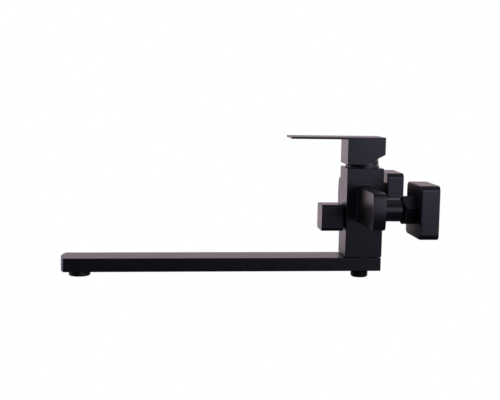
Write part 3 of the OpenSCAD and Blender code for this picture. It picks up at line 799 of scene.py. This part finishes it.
# ---------------------------------------------------------------- inner parts
# What shows only in gaps or when a part moves keeps its engineered shape and gets
# the finish of its own material: turned brass, steel, lapped ceramic or rubber.

def turned_metal(name, dark, light, roughness):
    """Machined metal with fine tool marks."""
    finish = Finish(name, roughness, metallic=1.0)
    marks = finish.noise(1800, 3)
    finish.feed("Base Color", finish.mix(marks, dark, light))
    finish.feed("Roughness", marks * 0.2 + roughness - 0.1)
    finish.bump(marks, 0.00003, 0.3)
    return finish.material


def lapped_ceramic():
    finish = Finish("lapped_ceramic", 0.2)
    cloud = finish.noise(300, 2)
    finish.feed("Base Color", finish.mix(cloud, (0.80, 0.79, 0.74), (0.86, 0.85, 0.81)))
    finish.feed("Roughness", cloud * 0.1 + 0.15)
    return finish.material


def moulded_rubber():
    finish = Finish("moulded_rubber", 0.7)
    dust = finish.noise(900, 3)
    finish.feed("Base Color", finish.mix(dust, (0.010, 0.010, 0.010), (0.022, 0.022, 0.022)))
    finish.feed("Roughness", dust * 0.2 + 0.6)
    finish.bump(dust, 0.00004, 0.5)
    return finish.material


inner_finishes = {
    "lacquer": lacquer,
    "brass": turned_metal("turned_brass", (0.55, 0.38, 0.14), (0.70, 0.50, 0.22), 0.30),
    "steel": turned_metal("turned_steel", (0.42, 0.42, 0.43), (0.58, 0.58, 0.60), 0.28),
    "ceramic": lapped_ceramic(),
    "plastic": grey_plastic,
    "black_plastic": black_plastic,
    "rubber": moulded_rubber(),
}
for part in frame["record"]["subparts"]:
    node = frame["nodes"][part["node"]]
    node.data.materials.clear()
    node.data.materials.append(inner_finishes[part["material_slot"]])


# ---------------------------------------------------------------- room and camera
# A pale floor well below the faucet, clear when seen from below, that glows with painted light
# instead of being lit; a bright room to the left, dimmer light on the other sides, and one soft light
# at the right front.

floor_drop = 0.10
floor_top = cad_low.z - floor_drop
pink_light = (1.0, 0.82, 0.93)
blue_light = (0.76, 0.73, 1.0)


def glowing_floor():
    """Painted light: the floor glows instead of being lit. White to the eye; in reflections its glow is
    painted dimmer, above all in front of the faucet.
    """
    material = bpy.data.materials.new("glowing_floor")
    material.use_nodes = True
    nodes = Nodes(material.node_tree)
    place = nodes.node("TexCoord", output="Object")
    x = nodes.node("SeparateXYZ", None, place, output="X")
    y = nodes.node("SeparateXYZ", None, place, output="Y")
    # Painted light: the glow seen in reflections is set by region. It is brightest far to the left,
    # also bright to the right and out past the spout's tip, and dim close in front. It is tinted from
    # pink to blue.
    far_left = nodes.fade(x, -0.35, -1.0, 0.0, 1.05) * nodes.fade(y, -0.30, -0.12, 1.0, 0.15)
    far_left = far_left * nodes.fade(x, -1.0, -2.2, 1.0, 0.6)
    far_right = nodes.fade(x, 0.5, 2.0, 0.0, 0.48) * nodes.fade(y, 0.0, 0.9, 0.35, 2.2)
    tip_side = nodes.fade(x, 0.2, -0.3, 0.0, 0.7) * nodes.fade(y, -0.55, -0.95, 0.0, 1.0)
    level = far_left + far_right + tip_side + 0.07
    tint = nodes.mix(nodes.fade(x - y * 0.6, -0.6, 0.0, 0.0, 1.0), pink_light, blue_light)
    dim = nodes.node("Emission", None, tint, level)
    white = nodes.node("Emission", None, (1, 1, 1, 1), 1.0)
    eye = nodes.node("LightPath", output="Is Camera Ray")
    above = nodes.node("MixShader", None, eye, dim, white)
    below = nodes.node("NewGeometry", output="Backfacing")
    shown = nodes.node("MixShader", None, below, above, nodes.node("BsdfTransparent"))
    nodes.tree.links.new(shown.socket, nodes.tree.nodes["Material Output"].inputs["Surface"])
    return material


build = bmesh.new()
bmesh.ops.create_grid(build, x_segments=1, y_segments=1, size=9.0)
mesh = bpy.data.meshes.new("floor")
build.to_mesh(mesh)
build.free()
mesh.transform(Matrix.Translation((0, 0, floor_top)))
mesh.materials.append(glowing_floor())
floor = as_object("floor", mesh)


def softbox(name, place, aim, width, height, power):
    """A rectangular light that faces a point."""
    lamp = bpy.data.lights.new(name, "AREA")
    lamp.shape = "RECTANGLE"
    lamp.size, lamp.size_y = width, height
    lamp.energy = power
    lamp.color = blue_light
    made = bpy.data.objects.new(name, lamp)
    bpy.context.scene.collection.objects.link(made)
    made.location = place
    made.rotation_euler = (Vector(aim) - Vector(place)).to_track_quat("-Z", "Y").to_euler()
    return made


middle = (0.0, -0.10, 0.0)
softbox("right front", (1.8, 1.3, 0.35), middle, 2.0, 1.6, 14)

world = bpy.data.worlds.new("room")
world.use_nodes = True
bpy.context.scene.world = world
room = Nodes(world.node_tree)
direction = room.node("TexCoord", output="Generated")
x = room.node("SeparateXYZ", None, direction, output="X")
y = room.node("SeparateXYZ", None, direction, output="Y")
z = room.node("SeparateXYZ", None, direction, output="Z")
behind_level = room.fade(x, 0.1, -0.7, 0.0, 0.75) * room.fade(z, 0.35, 0.75, 1.0, 0.08)
front_level = room.fade(x, -0.2, 0.6, 0.0, 0.42) * room.fade(z, 0.3, 0.8, 1.0, 0.2)
front_level = front_level * room.fade(y, 0.12, 0.5, 0.15, 3.0)
round_level = room.fade(y, -0.55, -0.95, 0.0, 0.5) + room.fade(y, 0.6, 0.95, 0.0, 0.4)
round_level = round_level + room.fade(z, 0.7, 1.0, 0.02, 0.35)
tint = room.mix(room.fade(x, -0.3, 0.3, 0.0, 1.0), pink_light, blue_light)
dim = room.node("Background", None, tint, behind_level + front_level + round_level)
white = room.node("Background", None, (1, 1, 1, 1), 1.0)
eye = room.node("LightPath", output="Is Camera Ray")
shown = room.node("MixShader", None, eye, dim, white)
room.tree.links.new(shown.socket, room.tree.nodes["World Output"].inputs["Surface"])

azimuth, elevation, roll = math.radians(83.80), math.radians(6.857), math.radians(0.966)
camera_place = Vector((1.1014, -0.3177, 0.1349))
ahead = Vector((-math.sin(azimuth) * math.cos(elevation), math.cos(azimuth) * math.cos(elevation),
                -math.sin(elevation)))
level = ahead.cross(Vector((0, 0, 1))).normalized()
lift = level.cross(ahead)
across = level * math.cos(roll) + lift * math.sin(roll)
up = lift * math.cos(roll) - level * math.sin(roll)
lens = bpy.data.cameras.new("camera")
lens.sensor_width = 36.0
lens.lens = 67.86
lens.clip_start = 0.05
camera = as_object("camera", lens)
camera.matrix_world = Matrix((
    (across.x, up.x, -ahead.x, camera_place.x), (across.y, up.y, -ahead.y, camera_place.y),
    (across.z, up.z, -ahead.z, camera_place.z), (0, 0, 0, 1)))
bpy.context.scene.camera = camera
bpy.context.scene.view_settings.view_transform = "Standard"
